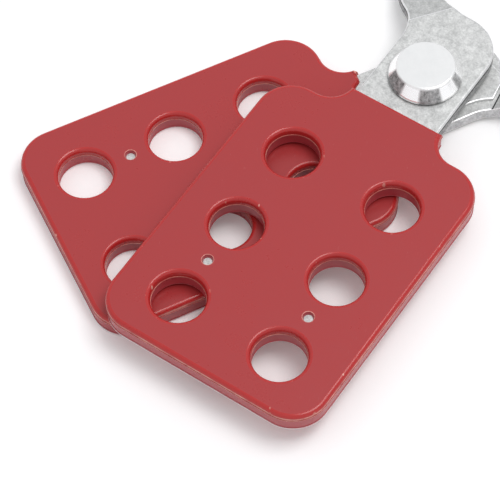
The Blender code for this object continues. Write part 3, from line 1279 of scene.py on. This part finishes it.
@dataclass
class JawPlate:
    """Punched steel jaw: tang, neck, boss, bearing pad and stepped jaw arm."""

    half: Half
    sizes: HaspSizes
    tang_corner: float = 0.0050
    tang_fillet: float = 0.0015
    boss_radius: float = 0.0082
    pad_margin: float = 0.0020
    root_radius: float = 0.0084
    tip_overlap: float = math.radians(18.0)
    joggle_direction: float = math.radians(141.3)
    joggle_slope: float = math.radians(20.0)
    crease_reach: float = 0.0128
    crease_width: float = 0.0005
    crease_tilt: float = 0.5
    cage_distance: float = 0.024
    cage_width: float = 0.004
    edge_radius: float = 0.00045
    edge_segments: int = 4
    low_edge_segments: int = 2
    shear_depth: float = 0.0009
    bore_segments: int = 64
    tube_segments: int = 48
    arc_step: float = math.radians(4.0)

    @property
    def top(self) -> float:
        """Height of the plate's upper face as it is first modelled."""
        return self.sizes.steel_top

    @property
    def bottom(self) -> float:
        """Height of the plate's lower face as it is first modelled."""
        return self.top - self.sizes.steel_thickness

    @property
    def low_edge_radius(self) -> float:
        """Rounding of the lower rim, half that of the upper one."""
        return self.edge_radius / 2

    @property
    def drop(self) -> float:
        """How far the arm steps down, into the other half's layer."""
        return self.top - (self.sizes.middle - self.sizes.layer_gap / 2)

    @property
    def run(self) -> float:
        """Length of the slope between the two creases."""
        return self.drop / math.tan(self.joggle_slope)

    @property
    def jaw_centre(self) -> Vector:
        """Centre of the jaw ring."""
        return Vector((0.0, self.sizes.pivot_to_jaw))

    @property
    def boss_centre(self) -> Vector:
        """Centre of the rounded boss beside the pivot."""
        across = self.sizes.neck_width / 2 - self.boss_radius
        return Vector((across, self.sizes.pivot_to_jaw - self.sizes.jaw_radius - self.boss_radius))

    @property
    def crease_normal(self) -> Vector:
        """Direction in which the arm steps down."""
        return heading(self.joggle_direction)

    def build(self, finishes: list[Material]) -> Piece:
        """Model the plate and dress it.

        Args:
            finishes: its materials, in the order of SteelSlot.

        Returns:
            The finished plate.
        """
        plate = self._blank(finishes)
        Bench.combine(plate, self._pad(finishes), "UNION")
        Bench.combine(plate, self._openings(), "DIFFERENCE")
        self._crease(plate)
        Bench.smooth(plate)
        if self.half is Half.FRONT:
            Bench.turn(plate, Matrix.Rotation(self.sizes.opening_angle, 4, "Z"))
        else:
            centre = Matrix.Translation((0.0, 0.0, self.sizes.middle))
            Bench.turn(plate, centre @ Matrix.Rotation(HALF_TURN, 4, "Y") @ centre.inverted())
        return plate

    def _blank(self, finishes: list[Material]) -> Piece:
        """Flat blank with rounded edges and two bands round its cut wall.

        Args:
            finishes: its materials, in the order of SteelSlot.

        Returns:
            The plate before its pad, bores and creases.
        """
        plate = self._outline()
        Bench.slots(plate, finishes)
        Bench.raise_face(self.sizes.steel_thickness - self.shear_depth)
        Bench.raise_face(self.shear_depth)
        Bench.face_outwards()
        split = self.top - self.shear_depth
        # On the front plate this band is painted near black: partly the sheared zone, partly
        # painted shade.
        Bench.paint(plate, SteelSlot.UPPER_WALL,
                    lambda face: is_wall(face) and level(face) > split)
        Bench.paint(plate, SteelSlot.LOWER_WALL,
                    lambda face: is_wall(face) and level(face) < split)
        Bench.round_rim(plate, self.top, self.edge_radius, self.edge_segments)
        Bench.round_rim(plate, self.bottom, self.low_edge_radius, self.low_edge_segments)
        Bench.paint(plate, SteelSlot.SHEET, lambda face: abs(face.normal.z) > FLAT_TILT)
        # Painted highlight: the rounded rims take a paler finish, partly edge wear.
        Bench.paint(plate, SteelSlot.RIM_WEAR_AND_HIGHLIGHT, is_rounding)
        Bench.clear()
        return plate

    def _root(self) -> tuple[Vector, float]:
        """Fillet between the neck and the jaw's outer edge.

        Returns:
            Its centre, and the angle at which it meets the jaw.
        """
        x = -(self.sizes.neck_width / 2 + self.root_radius)
        reach = self.sizes.jaw_radius + self.sizes.arm_width + self.root_radius
        y = self.jaw_centre.y - math.sqrt(reach ** 2 - x ** 2)
        return Vector((x, y)), math.atan2(self.jaw_centre.y - y, -x)

    def _outline(self) -> Piece:
        """Outline of the whole plate, filled, at its lower face.

        Returns:
            The filled outline, still in edit mode.
        """
        sizes = self.sizes
        tang = sizes.handle_width / 2 - sizes.rim_wall
        neck = sizes.neck_width / 2
        low = sizes.end_y + sizes.rim_wall
        high = sizes.shoulder_y - sizes.rim_wall
        inner = tang - self.tang_corner
        turn_in = neck + self.tang_fillet
        root_centre, root_angle = self._root()
        tip_angle = QUARTER - self.tip_overlap
        tip_reach = sizes.jaw_radius + sizes.arm_width / 2
        tip_centre = self.jaw_centre + heading(tip_angle) * tip_reach
        pen = Pen(f"{self.half.value}_jaw_steel", (inner, low), self.bottom, self.arc_step)
        pen.arc((inner, low + self.tang_corner), QUARTER)
        pen.line(tang, high - self.tang_corner).arc((inner, high - self.tang_corner), QUARTER)
        pen.line(turn_in, high).arc((turn_in, high + self.tang_fillet), -QUARTER)
        pen.line(neck, self.boss_centre.y).arc(self.boss_centre, QUARTER)
        pen.line(0.0, self.jaw_centre.y - sizes.jaw_radius)
        pen.arc(self.jaw_centre, tip_angle - FULL_TURN + QUARTER)
        pen.arc(tip_centre, HALF_TURN)
        pen.arc(self.jaw_centre, HALF_TURN + root_angle - tip_angle)
        pen.arc(root_centre, -root_angle)
        pen.line(-neck, high + self.tang_fillet)
        pen.arc((-turn_in, high + self.tang_fillet), -QUARTER).line(-inner, high)
        pen.arc((-inner, high - self.tang_corner), QUARTER)
        pen.line(-tang, low + self.tang_corner).arc((-inner, low + self.tang_corner), QUARTER)
        return pen.fill()

    def _pad(self, finishes: list[Material]) -> Piece:
        """Bearing pad that stands proud of the face that meets the other half.

        Args:
            finishes: the plate's materials, in the order of SteelSlot.

        Returns:
            The pad, which overlaps the plate a little.
        """
        sizes = self.sizes
        margin = self.pad_margin
        root_centre = self._root()[0]
        side = sizes.neck_width / 2 - 2 * margin
        foot = sizes.shoulder_y + sizes.sleeve_length + 2 * margin
        inside = self.crease_reach - sizes.steel_thickness * math.tan(self.joggle_slope / 2)
        jaw_side = sizes.jaw_radius + margin
        root_side = self.root_radius + margin
        jaw_turn = math.acos((inside - self.crease_normal.dot(self.jaw_centre)) / jaw_side)
        root_turn = math.acos((inside - self.crease_normal.dot(root_centre)) / root_side)
        jaw_angle = self.joggle_direction + jaw_turn
        root_angle = self.joggle_direction - root_turn
        pen = Pen("bearing_pad", (side, foot - margin), sizes.front_base, self.arc_step)
        pen.arc((side, foot), QUARTER)
        pen.line(self.boss_centre.x + self.boss_radius - margin, self.boss_centre.y)
        pen.arc(self.boss_centre, QUARTER)
        pen.line(0.0, self.jaw_centre.y - jaw_side)
        pen.arc(self.jaw_centre, jaw_angle - FULL_TURN + QUARTER)
        start = root_centre + heading(root_angle) * root_side
        pen.line(start.x, start.y).arc(root_centre, -root_angle)
        pen.line(-side - margin, foot).arc((-side, foot), QUARTER)
        pad = pen.fill()
        Bench.raise_face(sizes.cover + self.edge_radius)
        Bench.slots(pad, finishes)
        Bench.round_rim(pad, sizes.front_base, self.low_edge_radius, self.low_edge_segments)
        Bench.face_outwards()
        # Painted highlight: the pad's rounded rim takes the paler rim finish, partly edge wear.
        Bench.paint(pad, SteelSlot.RIM_WEAR_AND_HIGHLIGHT, is_rounding)
        Bench.clear()
        return pad

    def _openings(self) -> Piece:
        """Cutters for the pivot bore and for the holes that the handle's tubes pass through.

        Returns:
            All the cutters in one piece.
        """
        sizes = self.sizes
        low = self.bottom - sizes.steel_thickness
        high = self.top + sizes.steel_thickness
        bore = sizes.shank_radius + sizes.clearance
        drill = Bench.turned("bore_cutter", Vector((0.0, 0.0)), [(bore, low), (bore, high)],
                             self.bore_segments)
        tube = sizes.hole_radius + sizes.tube_wall
        places = sizes.hole_centres()
        cutter = Bench.turned("tube_cutter", places[0], [(tube, low), (tube, high)],
                              self.tube_segments)
        Bench.copies(cutter, places)
        Bench.take(cutter)
        drill.select_set(True)
        bpy.ops.object.join()
        return cutter

    def _on_crease(self, face: Face) -> bool:
        """Whether a face lies on the crease's narrow band, before the arm is stepped.

        Args:
            face: the face to test.

        Returns:
            True for the flat and nearly flat faces of the band, beyond the jaw ring.
        """
        middle = face.calc_center_median()
        away = self.crease_normal.dot(middle.xy) - self.crease_reach
        inside = 0.0 < away < self.crease_width / 2 + TOUCH
        outside_ring = (middle.xy - self.jaw_centre).length > self.sizes.jaw_radius
        return inside and outside_ring and abs(face.normal.z) > self.crease_tilt

    def _crease(self, plate: Piece) -> None:
        """Step the arm down between two creases.

        Args:
            plate: the flat plate.
        """
        Bench.edit(plate)
        for middle in (self.crease_reach, self.crease_reach + self.run):
            for shift in (-0.5, 0.0, 0.5):
                place = self.crease_normal * (middle + shift * self.crease_width)
                bpy.ops.mesh.select_all(action="SELECT")
                bpy.ops.mesh.bisect(plane_co=(place.x, place.y, self.top),
                                    plane_no=(self.crease_normal.x, self.crease_normal.y, 0.0))
        # The crease band is painted: a pale painted highlight on the front plate, a near-black
        # painted shade on the rear one.
        Bench.paint(plate, SteelSlot.CREASE, self._on_crease)
        Bench.clear()
        along = Vector((self.crease_normal.y, -self.crease_normal.x))
        place = self.crease_normal * (self.crease_reach + self.run / 2) + along * self.cage_distance
        bpy.ops.object.add(type="LATTICE", location=(place.x, place.y, self.top),
                           rotation=(0.0, 0.0, self.joggle_direction))
        cage = bpy.context.object
        cage.scale = (self.run, self.cage_width, 1.0)
        cage.data.points_u = 2
        cage.data.points_v = 2
        cage.data.points_w = 1
        for axis in "uvw":
            setattr(cage.data, f"interpolation_type_{axis}", "KEY_LINEAR")
        for point in cage.data.points:
            if point.co.x > 0.0 or point.co.y < 0.0:
                point.co_deform.z -= self.drop
        Bench.apply(plate, "LATTICE", object=cage)
        bpy.data.objects.remove(cage, do_unlink=True)


@dataclass
class Rivet:
    """Solid rivet: tapered head with a flat top, shank and low tail.

    Each rounding is a row of rings, given by how far they lie from the corner
    across and upwards, in edge radii. The crown's rings give their radius as a
    share of the flat top's.
    """

    sizes: HaspSizes
    head_radius: float = 0.0068
    flat_radius: float = 0.0052
    head_height: float = 0.0030
    edge: float = 0.0005
    tail_radius: float = 0.0056
    tail_depth: float = 0.0020
    tail_rounding: tuple = ((-1.0, 0.0), (-0.3, 0.2), (0.0, 1.0))
    seat_rounding: tuple = ((-0.4, 0.0), (0.0, 0.3), (0.0, 0.9), (-0.3, 1.5))
    top_rounding: tuple = ((0.45, -0.75), (0.1, -0.25), (-0.5, 0.0))
    crown: tuple = ((0.55, 0.06), (0.2, 0.1))
    segments: int = 96
    smooth_angle: float = math.radians(32.0)

    def build(self, steel: Material) -> Piece:
        """Model the rivet and dress it.

        Args:
            steel: the rivet's material.

        Returns:
            The finished rivet.
        """
        seat = self.sizes.steel_top + self.sizes.clearance
        top = seat + self.head_height
        shank = self.sizes.shank_radius
        profile = self._rounded(self.tail_radius, 0.0, self.tail_rounding)
        profile += [(shank, self.tail_depth), (shank, seat)]
        profile += self._rounded(self.head_radius, seat, self.seat_rounding)
        profile += self._rounded(self.flat_radius, top, self.top_rounding)
        profile += [(self.flat_radius * share, top + self.edge * rise)
                    for share, rise in self.crown]
        rivet = Bench.turned("pivot_rivet_head", Vector((0.0, 0.0)), profile, self.segments)
        Bench.smooth(rivet, self.smooth_angle)
        rivet.data.materials.append(steel)
        return rivet

    def _rounded(self, radius: float, height: float, rounding: tuple) -> list[tuple[float, float]]:
        """Rings of a rounded corner, from its radius, its height and its row of offsets."""
        return [(radius + self.edge * out, height + self.edge * rise) for out, rise in rounding]


@dataclass
class Studio:
    """White floor, one soft lamp, pale surroundings and the camera."""

    floor_size: float = 3.0
    floor_height: float = -0.00002
    key_place: tuple = (0.10, 0.26, 0.88)
    key_aim: tuple = (0.0, -0.03, 0.0)
    key_size: float = 0.46
    key_power: float = 3.6
    camera_place: tuple = (0.23787, -0.13652, 0.38995)
    camera_right: tuple = (0.42856, 0.90309, -0.02748)
    camera_forward: tuple = (-0.48576, 0.20466, -0.84979)
    lens: float = 185.49
    sensor_width: float = 36.0
    nearest: float = 0.01
    farthest: float = 20.0
    sky: Colour = rgb(0.975, 0.98, 1.0)
    bright_way: tuple = (-0.45, 0.20, 0.85)
    bright_range: tuple = (-0.1, 0.75)
    bright: float = 0.74
    dim: float = 0.48
    mirrored: float = 1.17
    card_way: tuple = (0.92, -0.39, 0.0)
    card_range: tuple = (0.20, 0.42)
    card: float = 1.0

    def build(self, white: Material) -> None:
        """Set up everything around the hasp.

        Args:
            white: the floor's material.
        """
        self._floor(white)
        self._world()
        self._lamp()
        self._camera()
        bpy.context.scene.view_settings.view_transform = "Standard"

    def _floor(self, white: Material) -> None:
        """A large flat floor just under the hasp.

        Args:
            white: the floor's material.
        """
        Bench.clear()
        bpy.ops.mesh.primitive_plane_add(size=self.floor_size,
                                         location=(0.0, 0.0, self.floor_height))
        floor = bpy.context.object
        floor.name = "floor"
        Bench.settle()
        floor.data.materials.append(white)

    def _world(self) -> None:
        """Pale surroundings: bright overhead and behind, dimmer in front.

        The eye sees them as plain white. Bright metal mirrors them a little brighter,
        with a white card low in front.
        """
        world = bpy.data.worlds.new("surroundings")
        world.use_nodes = True
        sheet = NodeSheet(world.node_tree)
        way = sheet.add("ShaderNodeTexCoord").outputs["Generated"]
        rays = sheet.add("ShaderNodeLightPath").outputs
        in_metal = sheet.most(rays["Is Glossy Ray"], rays["Is Transmission Ray"])
        light = sheet.spread(sheet.along(way, self.bright_way), *self.bright_range,
                             self.dim, self.bright)
        light = sheet.math("MULTIPLY", light,
                           sheet.spread(in_metal, new_low=1.0, new_high=self.mirrored))
        card = sheet.spread(sheet.along(way, self.card_way), *self.card_range, 0.0, self.card)
        card = sheet.math("MULTIPLY", card, in_metal)
        background = sheet.feed(sheet.add("ShaderNodeBackground"), Color=self.sky,
                                Strength=sheet.most(light, card, rays["Is Camera Ray"]))
        sheet.link(background.outputs[0], sheet.add("ShaderNodeOutputWorld").inputs[0])
        bpy.context.scene.world = world

    def _lamp(self) -> None:
        """Hang the square soft key lamp above the hasp, facing it."""
        Bench.clear()
        facing = (Vector(self.key_aim) - Vector(self.key_place)).to_track_quat("-Z", "Y")
        bpy.ops.object.light_add(type="AREA", location=self.key_place, rotation=facing.to_euler())
        lamp = bpy.context.object
        lamp.name = "key"
        lamp.data.shape = "SQUARE"
        lamp.data.size = self.key_size
        lamp.data.energy = self.key_power

    def _camera(self) -> None:
        """Long-lens camera above the handles' right side."""
        Bench.clear()
        right = Vector(self.camera_right).normalized()
        back = -Vector(self.camera_forward).normalized()
        up = back.cross(right).normalized()
        right = up.cross(back)
        turn = Matrix((right, up, back)).transposed().to_4x4()
        bpy.ops.object.camera_add(location=self.camera_place, rotation=turn.to_euler())
        camera = bpy.context.object
        camera.data.lens = self.lens
        camera.data.sensor_width = self.sensor_width
        camera.data.clip_start = self.nearest
        camera.data.clip_end = self.farthest
        bpy.context.scene.camera = camera


# ----------------------------------------------------------------- assembly

def nylon_finishes(effects: Effects) -> list[Material]:
    """Materials of a handle.

    Args:
        effects: the shared effects.

    Returns:
        One material for each slot, in the order of NylonSlot.
    """
    finishes = [
        MouldedNylon("red_moulded_nylon"),
        MouldedNylon("red_nylon_wall", colour=rgb(0.44, 0.045, 0.055),
                     cloud=rgb(0.38, 0.04, 0.05), roughness=0.22, scuff_amount=0.2),
        # Pale finish: real flash at the parting and ring lines, and painted light on the lips'
        # steep band.
        MouldedNylon("pale_nylon_flash_and_painted_light", colour=rgb(0.80, 0.38, 0.31),
                     cloud=rgb(0.42, 0.04, 0.04), roughness=0.35, cloud_scale=420.0,
                     clouding=1.0),
        # Painted glow: brighter, more saturated red for the rounded lips.
        MouldedNylon("red_nylon_lip_painted_glow", colour=rgb(0.49, 0.021, 0.020),
                     cloud=rgb(0.40, 0.017, 0.018), scuff=rgb(0.9, 0.62, 0.5),
                     roughness=0.24, scuff_amount=0.5, stretch=1.5),
        # Painted light: lighter, pinker red for the bores, standing in for reflected light.
        MouldedNylon("red_nylon_bore_painted_light", colour=rgb(0.47, 0.055, 0.068),
                     cloud=rgb(0.38, 0.042, 0.055), roughness=0.3, scuff_amount=0.2),
        # Painted reflection of the white floor on the handle's foot.
        MouldedNylon("pale_nylon_foot_painted_reflection", colour=rgb(0.86, 0.74, 0.74),
                     cloud=rgb(0.60, 0.30, 0.32), roughness=0.40, cloud_scale=300.0,
                     clouding=1.0)]
    return [finish.make(effects) for finish in finishes]


def steel_finishes(effects: Effects) -> dict[Half, list[Material]]:
    """Materials of the two plates, whose cut walls differ.

    Args:
        effects: the shared effects.

    Returns:
        For each half one material for each slot, in the order of SteelSlot.
    """
    zinc = ZincPlate("zinc_plate").make(effects)
    # Near-black band: partly the sheared zone of the punched edge, partly painted shade. The rear
    # plate's crease line uses it as painted shade.
    sheared_and_shade = ZincPlate("sheared_band_and_painted_shade", colour=rgb(0.06, 0.06, 0.063),
                        cloud=rgb(0.01, 0.01, 0.011), roughness=0.6, metal=0.0, gloss=0.1,
                        cloud_scale=700.0).make(effects)
    torn = ZincPlate("torn_band", colour=grey(0.48), cloud=rgb(0.09, 0.09, 0.092),
                     roughness=0.6, cloud_scale=1500.0, clouding=0.9, bump_strength=0.8,
                     bump_height=0.00012).make(effects)
    rolled = ZincPlate("rolled_edge", colour=grey(0.68), cloud=rgb(0.34, 0.34, 0.35),
                       roughness=0.45, cloud_scale=1200.0, bump_strength=0.6).make(effects)
    # Painted highlight along the front plate's crease.
    crease_highlight = ZincPlate("crease_painted_highlight", colour=grey(0.98), cloud=grey(0.8),
                       roughness=0.3).make(effects)
    # Paler rim finish: partly edge wear, partly painted highlight.
    rim_wear_and_sheen = ZincPlate("rim_wear_and_painted_highlight", colour=grey(0.90), cloud=grey(0.66),
                    roughness=0.36).make(effects)
    return {Half.FRONT: [zinc, sheared_and_shade, torn, crease_highlight, rim_wear_and_sheen],
            Half.REAR: [zinc, rolled, rolled, sheared_and_shade, rim_wear_and_sheen]}


def report(piece: Piece, body: str, node: str) -> None:
    """Put a finished piece on its body, in place of its node, and log it.

    Args:
        piece: the finished piece.
        body: the body that it rides on.
        node: the frame node that it stands for.
    """
    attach(piece, body)
    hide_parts(node)
    log.info("%s on %s: %d faces", piece.name, body, len(piece.data.polygons))


def main() -> None:
    """Build the hasp's pieces in order, then the studio around them."""
    logging.basicConfig(level=logging.INFO, format="%(name)s: %(message)s")
    sizes = HaspSizes()
    effects = Effects()
    nylon = nylon_finishes(effects)
    steel = steel_finishes(effects)
    for half in Half:
        body = f"{half.value}_half"
        plate = JawPlate(half, sizes).build(steel[half])
        report(plate, body, f"{half.value}_jaw_plate")
        handle = Handle(half, sizes).build(nylon)
        report(handle, body, f"{half.value}_handle")
    rivet = Rivet(sizes).build(RivetFinish("bright_rivet_steel").make(effects))
    report(rivet, "rear_half", "pivot_rivet")
    Studio().build(StudioWhite("studio_white").make(effects))


if __name__ == "__main__":
    main()
